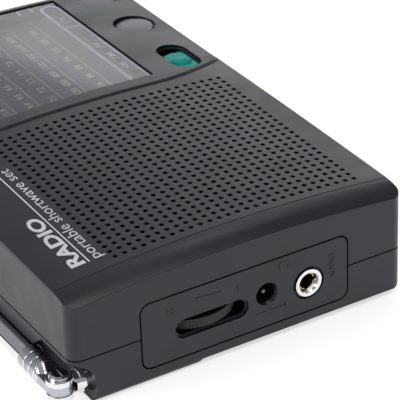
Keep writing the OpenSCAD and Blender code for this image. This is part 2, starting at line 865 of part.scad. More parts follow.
module speaker_cone() {
    color("#2a2825") translate([grille_x, grille_y, 0]) rotate_extrude($fn = fine)
        polygon([[21.2, speaker_z1 - 0.1], [21.2, speaker_z1 - 0.4], [6, 20.4], [4.4, 20.4], [0, 21.2],
                 [0, 21.6], [4.6, 20.8], [6, 20.8]]);
}

module speaker_magnet() {
    color("#4a4a4c") translate([grille_x, grille_y, 0]) union() {
        cylinder_between(magnet_r, magnet_z0 + 0.8, magnet_z1);
        cylinder_between(magnet_r - 1, magnet_z0, magnet_z0 + 0.8);
    }
}

module speaker_felt() {
    color("#1a1a1b") post(grille_x, grille_y, speaker_r, speaker_z1, speaker_z1 + 0.35);
}

// ---- battery bay ----

module battery_cells() {
    color("#c08a2b") for (s = [-1, 0]) {
        x0 = s * (cell_l + 1.2) + 0.8;
        rod_x(cell_y, cell_z, cell_r - 0.05, x0, x0 + cell_l - 1.2);
        rod_x(cell_y, cell_z, 2.7, x0 + cell_l - 1.3, x0 + cell_l);
    }
}

module battery_springs() {
    turns = 3;
    color(steel) union() {
        for (k = [0 : turns - 1]) translate([-tub_x + 0.75 + k * 0.35, cell_y, cell_z]) rotate([0, 90, 0])
            rotate_extrude($fn = round_fn) translate([4.4 - k * 0.8, 0]) circle(r = 0.3, $fn = 16);
        rod_x(cell_y, cell_z, 4.8, -tub_x, -tub_x + 0.5);
        // wire that leads from turn to turn
        block(-tub_x + 0.4, -tub_x + 1.6, cell_y - 0.25, cell_y + 0.25, cell_z + 2.7, cell_z + 4.5);
    }
}

module battery_contacts() {
    color(steel) union() {
        block(tub_x - 0.5, tub_x, cell_y - 5, cell_y + 5, cell_z - 5, cell_z + 5);
        rod_x(cell_y, cell_z, 1.8, tub_x - 1.3, tub_x - 0.4);
    }
}

// The door: a stretch of the back and of the bottom edge, with a tongue along each short side
module door_shape(gap) {
    block(-door_x - gap, door_x + gap, -cab_h / 2 - 1, door_y1 + gap, -1, door_z1 + gap);
    block(-door_x - 1.2 - gap, door_x + 1.2 + gap, -cab_h / 2 - 1, door_y1 - 2 + gap,
          door_z1 - 0.7 - gap, door_z1 + gap);
}

module battery_door() {
    color(abs_black) difference() {
        intersection() {
            rear_solid();
            door_shape(0);
        }
        // grip ribs
        for (k = [0 : 4]) block(-8, 8, -35 + k * 1.6, -34.3 + k * 1.6, 0, land_h + 0.35);
    }
}

// ---- fasteners and stand ----

module case_screws() {
    color(steel) for (p = screw_posts) {
        difference() {
            post(p[0], p[1], 1.8, land_h + 0.6, land_h + 1.85);
            block(p[0] - 1.2, p[0] + 1.2, p[1] - 0.2, p[1] + 0.2, 0, land_h + 1.1);
            block(p[0] - 0.2, p[0] + 0.2, p[1] - 1.2, p[1] + 1.2, 0, land_h + 1.1);
        }
        post(p[0], p[1], 0.8, land_h + 1.8, seam_z + 6);
    }
}

module kickstand() {
    color(abs_black) difference() {
        union() {
            block(-stand_w / 2, stand_w / 2, stand_y0, stand_axis_y, 0.35, 1.85);
            rod_x(stand_axis_y, stand_axis_z, 0.8, -stand_w / 2, stand_w / 2);
            rod_x(stand_axis_y, stand_axis_z, stand_pin_r, -stand_w / 2 - 1.5, stand_w / 2 + 1.5);
        }
        // window round the rest pad
        block(-12, 12, -6, 24, -1, 3);
    }
}

// ---- whip antenna ----

module antenna_base() {
    color(steel) difference() {
        union() {
            rod_y(pivot_x, whip_z, stud_r, 25, collar_y + 0.2);
            rod_y(pivot_x, whip_z, 2.5, collar_y, collar_y + 1);
            rod_y(pivot_x, whip_z, 2.15, collar_y + 0.9, whip_y - 2.3);
            post(pivot_x, whip_y, 2.6, whip_z - 2.15, whip_z + 2.15);
        }
        // slot for the tongue, open all round except at the neck
        block(pivot_x - 4, pivot_x + 4, whip_y - 2.75, whip_y + 4, whip_z - tongue_t / 2 - 0.05,
              whip_z + tongue_t / 2 + 0.05);
        post(pivot_x, whip_y, 1.05, -1, 10);
        // groove for the clip
        rotate_groove(26.2, 27);
    }
}

// Ring groove in the stud
module rotate_groove(y0, y1) {
    difference() {
        rod_y(pivot_x, whip_z, 3, y0, y1);
        rod_y(pivot_x, whip_z, 1.2, y0 - 1, y1 + 1);
    }
}

module antenna_clip() {
    color(steel) difference() {
        rod_y(pivot_x, whip_z, 2.7, 26.3, 26.9);
        rod_y(pivot_x, whip_z, 1.25, 26, 28);
        block(pivot_x - 0.9, pivot_x + 0.9, 26, 28, whip_z, whip_z + 4);
    }
}

module antenna_pivot_screw() {
    color(steel) difference() {
        union() {
            post(pivot_x, whip_y, 1.5, whip_z + 2.15, whip_z + 2.95);
            post(pivot_x, whip_y, 1, whip_z - 2.4, whip_z + 2.2);
        }
        block(pivot_x - 1.2, pivot_x + 1.2, whip_y - 0.2, whip_y + 0.2, whip_z + 2.55, whip_z + 4);
    }
}

module antenna_knuckle() {
    r = whip_r + 0.05;
    color(steel) difference() {
        union() {
            rod_x(whip_y, whip_z, r, left_x + 9.5, tube_x0);
            rod_x(whip_y, whip_z, whip_r - whip_wall - 0.02, left_x + 10, tube_x0 + 4);
            intersection() {
                union() {
                    post(pivot_x, whip_y, 2.4, whip_z - tongue_t / 2, whip_z + tongue_t / 2);
                    block(pivot_x, left_x + 9.6, whip_y - 2.4, whip_y + 2.4, 0, 8);
                }
                block(pivot_x - 4, left_x + 9.6, whip_y - 3, whip_y + 3, whip_z - tongue_t / 2,
                      whip_z + tongue_t / 2);
            }
        }
        post(pivot_x, whip_y, 1.05, 0, 8);
        for (x = [left_x + 11.4, left_x + 13.6]) difference() {
            rod_x(whip_y, whip_z, r + 1, x, x + 0.4);
            rod_x(whip_y, whip_z, r - 0.25, x - 1, x + 1);
        }
    }
}

// One tube of the whip; k counts from the outermost, 0
module whip_tube(k) {
    r = whip_r - k * whip_step;
    x0 = tube_x0 + (k == 0 ? 0 : 4.2 + k * 0.6);
    x1 = tube_x0 + whip_len + k * 0.9;
    color(steel) difference() {
        rod_x(whip_y, whip_z, r, x0, x1);
        rod_x(whip_y, whip_z, r - whip_wall, x0 - 1, x1 + 1);
    }
}

module antenna_tube_1() { whip_tube(0); }

module antenna_tube_2() { whip_tube(1); }

module antenna_tube_3() { whip_tube(2); }

module antenna_tube_4() { whip_tube(3); }

module antenna_tube_5() { whip_tube(4); }

module antenna_rod() {
    x1 = tube_x0 + whip_len + 5 * 0.9;
    color(steel) union() {
        rod_x(whip_y, whip_z, whip_r - 5 * whip_step, tube_x0 + 8, x1 + 0.5);
        rod_x(whip_y, whip_z, 1.9, x1 - 0.2, x1 + 0.6);
        rod_x(whip_y, whip_z, 2.3, x1 + 0.5, x1 + 3);
        translate([x1 + 3, whip_y, whip_z]) rotate([0, 90, 0])
            cylinder(r1 = 2.3, r2 = 1.7, h = 0.8, $fn = round_fn);
    }
}

front_cabinet();
speaker_grille();
rear_cabinet();
jack_panel();
dial_window();
dial_plate();
dial_pointer();
dial_cord();
dial_drum();
drum_screw();
tuning_wheel();
tuning_pin();
tuning_capacitor();
volume_wheel();
volume_screw();
volume_pot();
power_slider();
power_switch();
power_lever();
band_knob();
band_switch();
band_lever();
button_cap_1();
button_cap_2();
tact_plunger_1();
tact_plunger_2();
tact_switches();
switch_board();
earphone_socket();
earphone_ring();
earphone_contacts();
dc_socket();
dc_pin();
main_board();
board_screws();
integrated_circuits();
coil_cans();
electrolytic_capacitors();
ferrite_rod();
ferrite_coils();
speaker_frame();
speaker_cone();
speaker_magnet();
speaker_felt();
battery_cells();
battery_springs();
battery_contacts();
battery_door();
kickstand();
case_screws();
antenna_base();
antenna_clip();
antenna_pivot_screw();
antenna_knuckle();
antenna_tube_1();
antenna_tube_2();
antenna_tube_3();
antenna_tube_4();
antenna_tube_5();
antenna_rod();
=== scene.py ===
import json
import math

import bmesh
import bpy
from mathutils import Matrix, Vector


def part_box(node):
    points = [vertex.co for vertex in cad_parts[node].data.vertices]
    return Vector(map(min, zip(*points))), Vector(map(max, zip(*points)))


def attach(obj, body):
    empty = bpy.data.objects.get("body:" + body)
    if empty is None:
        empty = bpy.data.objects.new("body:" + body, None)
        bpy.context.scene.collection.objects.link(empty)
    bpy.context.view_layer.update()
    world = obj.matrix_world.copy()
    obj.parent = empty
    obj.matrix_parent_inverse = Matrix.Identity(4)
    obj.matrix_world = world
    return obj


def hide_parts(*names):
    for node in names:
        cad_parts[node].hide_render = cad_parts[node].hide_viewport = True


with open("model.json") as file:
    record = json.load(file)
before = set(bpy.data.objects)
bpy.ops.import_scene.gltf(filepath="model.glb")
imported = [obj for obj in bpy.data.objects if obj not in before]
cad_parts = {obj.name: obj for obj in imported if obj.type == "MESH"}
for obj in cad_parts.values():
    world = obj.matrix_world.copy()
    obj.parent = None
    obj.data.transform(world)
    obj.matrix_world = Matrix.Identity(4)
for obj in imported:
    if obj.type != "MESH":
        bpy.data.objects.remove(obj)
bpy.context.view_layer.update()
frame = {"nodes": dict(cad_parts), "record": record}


MM = 0.001
LEFT, RIGHT = -0.059, 0.059
TOP_Y = 0.0375
STEP_X = 0.0045
FACE_Z = 0.0266
DOME_R = 0.342
TILT = math.tan(math.radians(1.25))
DIAL_DROP = 0.0007
WINDOW_SUNK = 0.00045
PRINT_LIFT = 0.00002
PLATE_LIFT = 0.00003
PLATE_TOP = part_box("dial_plate")[1].z


def face_z(x, y):
    """Height of the domed face."""
    drop = DIAL_DROP if x > STEP_X else (STEP_X - x) * TILT
    return FACE_Z - drop - y * y / (2 * DOME_R)


# ---- material graphs ----

def add(tree, kind, inputs=None, **props):
    node = tree.nodes.new("ShaderNode" + kind)
    for key, value in props.items():
        setattr(node, key, value)
    for key, value in (inputs or {}).items():
        socket = node.inputs[key]
        if isinstance(value, bpy.types.NodeSocket):
            tree.links.new(value, socket)
        else:
            socket.default_value = value
    return node


def rgba(c, k=1.0):
    return (c[0] * k, c[1] * k, c[2] * k, 1.0)


def base_graph(name):
    mat = bpy.data.materials.new(name)
    mat.use_nodes = True
    tree = mat.node_tree
    shader = tree.nodes["Principled BSDF"]
    coords = add(tree, "TexCoord").outputs["Object"]
    return mat, tree, shader, coords


def noise(tree, coords, size_mm, detail=2.0, stretch=None):
    """Noise whose grain is about size_mm, optionally stretched along the axes."""
    vector = coords
    if stretch:
        vector = add(tree, "Mapping", {"Vector": coords, "Scale": stretch}).outputs["Vector"]
    node = add(tree, "TexNoise", {"Vector": vector, "Scale": 1 / (size_mm * MM), "Detail": detail})
    return node.outputs["Fac"]


def ramp(tree, value, lo, hi, out_lo, out_hi):
    node = add(tree, "MapRange", {"Value": value, "From Min": lo, "From Max": hi,
                                  "To Min": out_lo, "To Max": out_hi})
    return node.outputs["Result"]


def mix(tree, fac, a, b):
    node = add(tree, "Mix", data_type="RGBA")
    for key, value in (("Factor", fac), ("A", a), ("B", b)):
        socket = [s for s in node.inputs if s.name == key and s.enabled and
                  (key == "Factor" or s.type == "RGBA")][0]
        if isinstance(value, bpy.types.NodeSocket):
            tree.links.new(value, socket)
        else:
            socket.default_value = value
    return [s for s in node.outputs if s.type == "RGBA"][0]


def edge_mask(tree, radius):
    """1 on convex and concave edges, 0 on flats, with the softened normal."""
    bevel = add(tree, "Bevel", {"Radius": radius}, samples=4)
    geometry = add(tree, "NewGeometry")
    dot = add(tree, "VectorMath", {0: bevel.outputs["Normal"], 1: geometry.outputs["Normal"]},
              operation="DOT_PRODUCT")
    return bevel.outputs["Normal"], ramp(tree, dot.outputs["Value"], 1.0, 0.88, 0.0, 1.0)


def plastic(name, colour, rough, grain=0.3, depth=0.012, wear=0.35, bevel=0.22, speck=0.12,
            specular=0.5, coat=0.0):
    """Moulded plastic: fine sparked grain, uneven sheen, paler rubbed edges."""
    mat, tree, shader, coords = base_graph(name)
    fine = noise(tree, coords, grain, 3.0)
    broad = noise(tree, coords, 14.0, 4.0)
    smears = noise(tree, coords, 5.0, 5.0, (1.0, 0.35, 1.0))
    patches = ramp(tree, broad, 0.35, 0.65, 0.0, 1.0)
    tone = mix(tree, patches, rgba(colour, 1 - speck), rgba(colour, 1 + speck))
    normal, edges = edge_mask(tree, bevel * MM)
    scuffs = noise(tree, coords, 1.6, 4.0)
    rubbed = ramp(tree, scuffs, 0.42, 0.62, 0.0, wear)
    worn = add(tree, "Math", {0: edges, 1: rubbed}, operation="MULTIPLY")
    pale = tuple(min(1.0, c * 2.6 + 0.03) for c in colour[:3])
    tree.links.new(mix(tree, worn.outputs[0], tone, rgba(pale)), shader.inputs["Base Color"])
    rough_map = ramp(tree, smears, 0.3, 0.7, rough - 0.05, rough + 0.06)
    tree.links.new(rough_map, shader.inputs["Roughness"])
    bump = add(tree, "Bump", {"Height": fine, "Distance": depth * MM, "Strength": 1.0, "Normal": normal})
    tree.links.new(bump.outputs["Normal"], shader.inputs["Normal"])
    shader.inputs["Specular IOR Level"].default_value = specular
    shader.inputs["Coat Weight"].default_value = coat
    return mat


def metal(name, colour, rough, grain=0.25, depth=0.003, stretch=(1, 12, 12), tarnish=0.15, bevel=0.12):
    """Plated or turned metal with drawn streaks, dull patches and bright edges."""
    mat, tree, shader, coords = base_graph(name)
    streaks = noise(tree, coords, grain * 8, 3.0, stretch)
    patches = noise(tree, coords, 3.5, 4.0)
    normal, edges = edge_mask(tree, bevel * MM)
    tone = mix(tree, ramp(tree, patches, 0.45, 0.75, 0.0, 1.0), rgba(colour), rgba(colour, 1 - tarnish))
    tree.links.new(mix(tree, edges, tone, rgba(tuple(min(1.0, c * 1.15) for c in colour))),
                   shader.inputs["Base Color"])
    tree.links.new(ramp(tree, patches, 0.3, 0.8, max(0.02, rough - 0.03), rough + 0.10),
                   shader.inputs["Roughness"])
    bump = add(tree, "Bump", {"Height": streaks, "Distance": depth * MM, "Strength": 0.6, "Normal": normal})
    tree.links.new(bump.outputs["Normal"], shader.inputs["Normal"])
    shader.inputs["Metallic"].default_value = 1.0
    return mat


def fibre(name, colour, rough, grain, depth):
    """Felt, cord or pressed paper."""
    mat, tree, shader, coords = base_graph(name)
    cells = add(tree, "TexVoronoi", {"Vector": coords, "Scale": 1 / (grain * MM)}).outputs["Distance"]
    fluff = noise(tree, coords, grain * 2.5, 5.0)
    tone = mix(tree, fluff, rgba(colour, 0.6), rgba(colour, 1.4))
    tree.links.new(tone, shader.inputs["Base Color"])
    tree.links.new(ramp(tree, fluff, 0.2, 0.8, rough - 0.06, rough), shader.inputs["Roughness"])
    bump = add(tree, "Bump", {"Height": cells, "Distance": depth * MM, "Strength": 0.8})
    tree.links.new(bump.outputs["Normal"], shader.inputs["Normal"])
    return mat


def smoked_window(name):
    """Tinted clear plastic with fine hairline scratches."""
    mat, tree, shader, coords = base_graph(name)
    dust = noise(tree, coords, 0.5, 5.0)
    haze = noise(tree, coords, 9.0, 3.0)
    hairs = noise(tree, coords, 0.4, 2.0, (0.12, 1.0, 1.0))
    normal, edges = edge_mask(tree, 0.15 * MM)
    bump = add(tree, "Bump", {"Height": hairs, "Distance": 0.002 * MM, "Strength": 0.5, "Normal": normal})
    tint = mix(tree, haze, (0.88, 0.88, 0.91, 1), (0.94, 0.94, 0.96, 1))
    clear = add(tree, "BsdfTransparent", {"Color": tint})
    gloss = add(tree, "BsdfGlossy", {"Roughness": ramp(tree, dust, 0.3, 0.7, 0.06, 0.14),
                                     "Normal": bump.outputs["Normal"], "Color": (1, 1, 1, 1)})
    milk = add(tree, "BsdfDiffuse", {"Color": (0.20, 0.20, 0.215, 1)})
    body = add(tree, "MixShader", {0: ramp(tree, haze, 0.2, 0.8, 0.05, 0.09),
                                   1: clear.outputs[0], 2: milk.outputs[0]})
    fresnel = add(tree, "Fresnel", {"IOR": 1.38, "Normal": bump.outputs["Normal"]})
    # only the outer side reflects, so that the plate behind stays in view
    backside = add(tree, "NewGeometry").outputs["Backfacing"]
    outer_side = add(tree, "Math", {0: 1.0, 1: backside}, operation="SUBTRACT")
    shine = add(tree, "Math", {0: fresnel.outputs[0], 1: outer_side.outputs[0]}, operation="MULTIPLY")
    out = add(tree, "MixShader", {0: shine.outputs[0], 1: body.outputs[0], 2: gloss.outputs[0]})
    tree.links.new(out.outputs[0], tree.nodes["Material Output"].inputs["Surface"])
    tree.nodes.remove(shader)
    return mat


CASE = (0.0050, 0.0066, 0.0115)
looks = {
    "case_plastic": plastic("case_plastic", CASE, 0.36),
    "knob_plastic": plastic("knob_plastic", (0.013, 0.014, 0.015), 0.46, depth=0.008),
    "window_plastic": smoked_window("window_plastic"),
    "dial_face": plastic("dial_face", (0.20, 0.197, 0.208), 0.6, depth=0.004, wear=0.0),
    "pointer_red": plastic("pointer_red", (0.50, 0.03, 0.02), 0.35, depth=0.003, wear=0.1),
    "cord": fibre("cord", (0.42, 0.38, 0.30), 0.9, 0.18, 0.05),
    "drum_plastic": plastic("drum_plastic", (0.62, 0.60, 0.54), 0.5, wear=0.0, speck=0.05),
    "steel": metal("steel", (0.60, 0.61, 0.62), 0.28),
    "pot_body": plastic("pot_body", (0.24, 0.13, 0.05), 0.6, wear=0.1),
    "teal_plastic": plastic("teal_plastic", (0.001, 0.33, 0.29), 0.40, depth=0.006, wear=0.05, speck=0.06,
                            specular=0.22),
    "button_plastic": plastic("button_plastic", (0.22, 0.212, 0.232), 0.42,
                              depth=0.006, wear=0.10, speck=0.06),
    "black_plastic": plastic("black_plastic", (0.012, 0.012, 0.013), 0.4, depth=0.006),
    "board": plastic("board", (0.02, 0.14, 0.07), 0.3, depth=0.004, wear=0.0),
    "chrome_ring": metal("chrome_ring", (0.83, 0.83, 0.84), 0.08, tarnish=0.08),
    "brass": metal("brass", (0.70, 0.50, 0.22), 0.25),
    "capacitor_sleeve": plastic("capacitor_sleeve", (0.02, 0.035, 0.10), 0.3, depth=0.004, wear=0.0),
    "ferrite": plastic("ferrite", (0.035, 0.032, 0.030), 0.6, depth=0.02),
    "coil_wire": plastic("coil_wire", (0.38, 0.11, 0.03), 0.35, depth=0.01, wear=0.0),
    "paper_cone": fibre("paper_cone", (0.03, 0.028, 0.025), 0.9, 0.3, 0.05),
    "felt": fibre("felt", (0.010, 0.010, 0.011), 1.0, 0.2, 0.08),
    "cell_jacket": plastic("cell_jacket", (0.45, 0.20, 0.02), 0.25, depth=0.003, wear=0.0),
    "whip_chrome": metal("whip_chrome", (0.80, 0.80, 0.81), 0.07, tarnish=0.10),
}
for part in frame["record"]["subparts"]:
    mesh = frame["nodes"][part["node"]].data
    mesh.materials.clear()
    mesh.materials.append(looks[part["material_slot"]])
satin = metal("satin_band", (0.50, 0.52, 0.55), 0.32, grain=0.1, depth=0.006,
              stretch=(1, 1, 14), tarnish=0.2)
frame["nodes"]["antenna_knuckle"].data.materials[0] = satin
# the pin's metal is darkened: painted shade of the socket hole it sits in
frame["nodes"]["dc_pin"].data.materials[0] = metal("shaded_pin_metal", (0.20, 0.20, 0.21), 0.35)

silver_print = plastic("silver_print", (0.78, 0.79, 0.81), 0.45, grain=0.12,
                       depth=0.004, wear=0.0, speck=0.10)
scale_print = plastic("scale_print", (0.70, 0.68, 0.52), 0.6, grain=0.12, depth=0.002, wear=0.0, speck=0.12)
window_print = plastic("window_print", (0.50, 0.51, 0.58), 0.5, grain=0.12,
                       depth=0.003, wear=0.0, speck=0.08)


# ---- pieces ----

# the face's bevels, how far a corner may lie from a surface to count as on it, and the lowest
# height that the domed face reaches
ON_BEVEL = 0.00002
ON_FACE = 0.00006
FACE_LOW = 0.0205
BEVEL_R = 0.0107
BEVEL_IN = 0.00573
BEVEL_TOP = 0.00133


def true_normal(co, flat):
    """Exact normal of the domed face or of its bevels at co, or the mesh's own one elsewhere."""
    rho = math.hypot(co.y, co.z - FACE_Z + DOME_R)
    if flat.z < 0.7 or co.z < FACE_LOW:
        return flat
    right_side = co.x > STEP_X + 0.0005
    for bevel_x, top in ((LEFT + BEVEL_IN, BEVEL_TOP), (RIGHT - BEVEL_IN, DIAL_DROP)):
        out = co.x - bevel_x
        rc = DOME_R - top - BEVEL_R
        if out * bevel_x > 0 and abs(math.hypot(out, rho - rc) - BEVEL_R) < ON_BEVEL:
            along, radial = out / BEVEL_R, (rho - rc) / BEVEL_R
            return Vector((along, radial * co.y / rho, radial * math.sqrt(1 - (co.y / rho) ** 2)))
    if abs(co.z - face_z(co.x, co.y)) < ON_FACE and flat.z > 0.97:
        return Vector((0.0 if right_side else -TILT, co.y / DOME_R, 1.0)).normalized()
    return flat


def keep(obj, body, material):
    """Gives a piece its material and the body it rides on."""
    obj.data.materials.clear()
    obj.data.materials.append(material)
    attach(obj, body)
    return obj


def mesh_object(name, verts, faces):
    mesh = bpy.data.meshes.new(name)
    mesh.from_pydata([tuple(v) for v in verts], [], faces)
    mesh.update()
    obj = bpy.data.objects.new(name, mesh)
    bpy.context.scene.collection.objects.link(obj)
    return obj


def lettering(name, text, height, thick=0.0, bold=0.0):
    """Flat or raised letters as a mesh in the XY plane, centred on the origin."""
    curve = bpy.data.curves.new(name, "FONT")
    curve.body = text
    curve.size = height * 1.38
    curve.align_x = "CENTER"
    curve.align_y = "CENTER"
    curve.extrude = thick / 2
    curve.offset = bold
    curve.resolution_u = 4
    holder = bpy.data.objects.new(name + "_curve", curve)
    bpy.context.scene.collection.objects.link(holder)
    bpy.context.view_layer.update()
    mesh = bpy.data.meshes.new_from_object(holder)
    bpy.data.objects.remove(holder)
    mesh.name = name
    obj = bpy.data.objects.new(name, mesh)
    bpy.context.scene.collection.objects.link(obj)
    return obj


def join(name, objs):
    """One mesh from several, with their places applied."""
    bm = bmesh.new()
    for o in objs:
        bpy.context.view_layer.update()
        o.data.transform(o.matrix_world)
        bm.from_mesh(o.data)
        bpy.data.objects.remove(o)
    mesh = bpy.data.meshes.new(name)
    bm.to_mesh(mesh)
    bm.free()
    obj = bpy.data.objects.new(name, mesh)
    bpy.context.scene.collection.objects.link(obj)
    return obj


def bar(name, x0, x1, y0, y1, z, thick=0.0):
    """Flat printed bar, or a thin block."""
    if not thick:
        return mesh_object(name, [(x0, y0, z), (x1, y0, z), (x1, y1, z), (x0, y1, z)], [(0, 1, 2, 3)])
    bm = bmesh.new()
    bmesh.ops.create_cube(bm, size=1.0)
    for v in bm.verts:
        v.co = Vector(((x0 + x1) / 2 + v.co.x * (x1 - x0), (y0 + y1) / 2 + v.co.y * (y1 - y0),
                       z + thick / 2 + v.co.z * thick))
    mesh = bpy.data.meshes.new(name)
    bm.to_mesh(mesh)
    bm.free()
    obj = bpy.data.objects.new(name, mesh)
    bpy.context.scene.collection.objects.link(obj)
    return obj


def ring_outline(name, outer, inner, z, closed=True):
    """Flat band between two outlines with the same number of points."""
    n = len(outer)
    verts = [(x, y, z) for x, y in outer] + [(x, y, z) for x, y in inner]
    faces = [(i, (i + 1) % n, n + (i + 1) % n, n + i) for i in range(n if closed else n - 1)]
    return mesh_object(name, verts, faces)


def front_shell():
    """Cabinet and grille in one skin, because no seam shows between them."""
    lo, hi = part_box("speaker_grille")
    near, weld = 2e-6, 4e-6
    index, verts, faces, normals = {}, [], [], []
    for name in ("front_cabinet", "speaker_grille"):
        mesh = frame["nodes"][name].data
        corner = mesh.corner_normals
        for poly in mesh.polygons:
            c, n = poly.center, poly.normal
            inside = lo.x - near < c.x < hi.x + near and lo.y - near < c.y < hi.y + near
            on_x = min(abs(c.x - lo.x), abs(c.x - hi.x)) < near and abs(n.x) > 0.9
            on_y = min(abs(c.y - lo.y), abs(c.y - hi.y)) < near and abs(n.y) > 0.9
            if inside and (on_x or on_y):
                continue
            ids = []
            for v in poly.vertices:
                co = mesh.vertices[v].co
                key = tuple(round(a / weld) for a in co)
                if key not in index:
                    index[key] = len(verts)
                    verts.append(tuple(co))
                ids.append(index[key])
            if len(set(ids)) == len(ids):
                faces.append(ids)
                normals += [tuple(true_normal(mesh.vertices[v].co, corner[k].vector))
                            for v, k in zip(poly.vertices, poly.loop_indices)]
    mesh = bpy.data.meshes.new("front_shell")
    mesh.from_pydata(verts, [], faces)
    mesh.polygons.foreach_set("use_smooth", [True] * len(faces))
    mesh.normals_split_custom_set(normals)
    obj = bpy.data.objects.new("front_shell", mesh)
    bpy.context.scene.collection.objects.link(obj)
    keep(obj, "cabinet", looks["case_plastic"])
    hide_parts("front_cabinet", "speaker_grille")
    return obj


front_shell()


def fit(obj, x0, x1, y0, y1):
    """Stretches flat lettering to a box given in millimetres."""
    xs = [v.co.x for v in obj.data.vertices]
    ys = [v.co.y for v in obj.data.vertices]
    kx = (x1 - x0) * MM / (max(xs) - min(xs))
    ky = (y1 - y0) * MM / (max(ys) - min(ys))
    for v in obj.data.vertices:
        v.co.x = x0 * MM + (v.co.x - min(xs)) * kx
        v.co.y = y0 * MM + (v.co.y - min(ys)) * ky
    return obj


def on_face(obj, sunk=0.0):
    """Drops a flat print onto the domed face, or onto a surface sunk below it."""
    for v in obj.data.vertices:
        v.co.z = face_z(v.co.x, v.co.y) - sunk + PRINT_LIFT
    obj.data.update()
    return obj


def cut_up(obj, cuts=15):
    """Divides every edge, so that a flat piece can follow the dome."""
    bm = bmesh.new()
    bm.from_mesh(obj.data)
    bmesh.ops.subdivide_edges(bm, edges=bm.edges[:], cuts=cuts, use_grid_fill=True)
    bm.to_mesh(obj.data)
    bm.free()


def strip(x0, x1, y0, y1, steps=12):
    """Flat bar in millimetres, cut into steps so that it can follow the dome."""
    verts = [(x * MM, (y0 + (y1 - y0) * k / steps) * MM, 0) for k in range(steps + 1) for x in (x0, x1)]
    faces = [(2 * k, 2 * k + 1, 2 * k + 3, 2 * k + 2) for k in range(steps)]
    return mesh_object("strip", verts, faces)


big_word = fit(lettering("word", "RADIO", 3.3 * MM, bold=0.16 * MM), -49.4, -29.8, 28.1, 31.3)
keep(join("print_name", [on_face(big_word)]), "cabinet", silver_print)
small_words = fit(lettering("line", "portable shortwave set", 2.2 * MM), -49.3, -10.5, 23.9, 26.9)
keep(join("print_line", [on_face(small_words)]), "cabinet", silver_print)
keep(join("print_rule", [on_face(strip(-49.5, -10.0, 27.33, 27.62))]),
     "cabinet", silver_print)

# numbers on the dial plate
columns = [13.4, 18.5, 23.4, 28.5, 33.4, 38.6, 44.0, 49.6]
scale_rows = [
    (28.4, "MHz 21.5 21.6 21.7 21.8 21.9 22.0 13m"), (22.6, "MHz 17.5 17.6 17.7 17.8 17.9 18.0 16m"),
    (16.6, "MHz 15.1 15.2 15.3 15.4 15.5 15.6 19m"), (10.6, "MHz 11.6 11.7 11.8 11.9 12.0 12.1 25m"),
    (4.8, "MHz 9.4 9.5 9.6 9.7 9.8 9.9 31m"), (-0.8, "MHz 7.1 7.2 7.3 7.4 7.5 7.6 41m"),
    (-6.6, "kHz 530 600 800 1000 1300 1600 MW"), (-12.6, "MHz 76 84 88 94 100 108 FM"),
]
prints = []
for y, words in scale_rows:
    for x, number in zip(columns, words.split()):
        o = lettering("number", number, 1.6 * MM, bold=0.03 * MM)
        o.location = (x * MM, y * MM, PLATE_TOP + PLATE_LIFT)
        prints.append(o)
    prints.append(bar("line", 10.5 * MM, 53 * MM, (y - 1.95) * MM, (y - 1.8) * MM, PLATE_TOP + PLATE_LIFT))
    for k in range(40):
        x = (12 + k * 1.0) * MM
        tall = 0.8 if k % 5 == 0 else 0.45
        prints.append(bar("tick", x, x + 0.14 * MM, (y - 1.85) * MM,
                          (y - 1.85 + tall) * MM, PLATE_TOP + PLATE_LIFT))
keep(join("dial_scales", prints), "cabinet", scale_print)


def lozenge(x0, x1, y0, y1, turns=14):
    """Outline with a square left end and a round right end, in millimetres."""
    r = (y1 - y0) / 2
    cx, cy = x1 - r, (y0 + y1) / 2
    points = [(x0, y0), (cx, y0)]
    points += [(cx + r * math.sin(math.pi * k / turns), cy - r * math.cos(math.pi * k / turns))
               for k in range(1, turns)]
    return [(x * MM, y * MM) for x, y in points + [(cx, y1), (x0, y1)]]


# pale prints on the window's upper side
outer = lozenge(9.25, 53.3, -20.3, -15.2)
inner = lozenge(9.25, 52.4, -19.45, -16.05)
marks = [ring_outline("outline", outer, inner, 0, closed=False), strip(39.9, 40.7, -19.5, -16.0, 4)]
for words, box in (("AM", (15.0, 18.4)), ("FM", (20.8, 24.2)), ("SW", (26.8, 30.3)), ("SW", (43.0, 46.2))):
    marks.append(fit(lettering("band", words, 1.6 * MM, bold=0.05 * MM), *box, -18.7, -17.1))
for x, y in ((52.6, -10.6), (53.1, -13.9)):
    marks.append(strip(x - 1.2, x + 1.2, y - 0.35, y + 0.35, 2))
# dark band along the window's edges: painted shade of the recess walls, laid on as black plastic
rim_shade = ring_outline("rim_shade", [(8.1, -20.4), (54.9, -20.4), (54.9, 30.9), (8.1, 30.9)],
                      [(8.75, -20.2), (54.3, -20.2), (54.3, 30.4), (8.75, 30.4)], 0)
rim_shade.data.transform(Matrix.Scale(MM, 4))
cut_up(rim_shade)
keep(join("window_rim_painted_shade", [on_face(rim_shade, WINDOW_SUNK)]),
     "cabinet", looks["black_plastic"])
keep(join("window_marks", [on_face(m, WINDOW_SUNK) for m in marks]),
     "cabinet", window_print)


# raised marks on the left side: letters read towards -Y with +Z up
def on_left(obj, y, z, x=LEFT):
    obj.matrix_world = Matrix(((0, 0, -1, x), (-1, 0, 0, y * MM), (0, 1, 0, z * MM), (0, 0, 0, 1)))
    return obj


EMBOSS = 0.14 * MM
side_marks = [
    on_left(lettering("s", "10", 1.5 * MM, EMBOSS), 16.2, 13.9),
    on_left(lettering("s", "0", 1.5 * MM, EMBOSS), 1.2, 13.9),
]
wedge_plan = [(-2.8 * MM, -0.6 * MM), (2.8 * MM, -0.05 * MM), (2.8 * MM, 0.05 * MM), (-2.8 * MM, 0.6 * MM)]
wedge = mesh_object("s", [(x, y, z) for z in (0, EMBOSS / 2) for x, y in wedge_plan],
                    [(0, 3, 2, 1), (4, 5, 6, 7), (0, 1, 5, 4), (1, 2, 6, 5), (2, 3, 7, 6), (3, 0, 4, 7)])
side_marks.append(on_left(wedge, 7.6, 14.6))


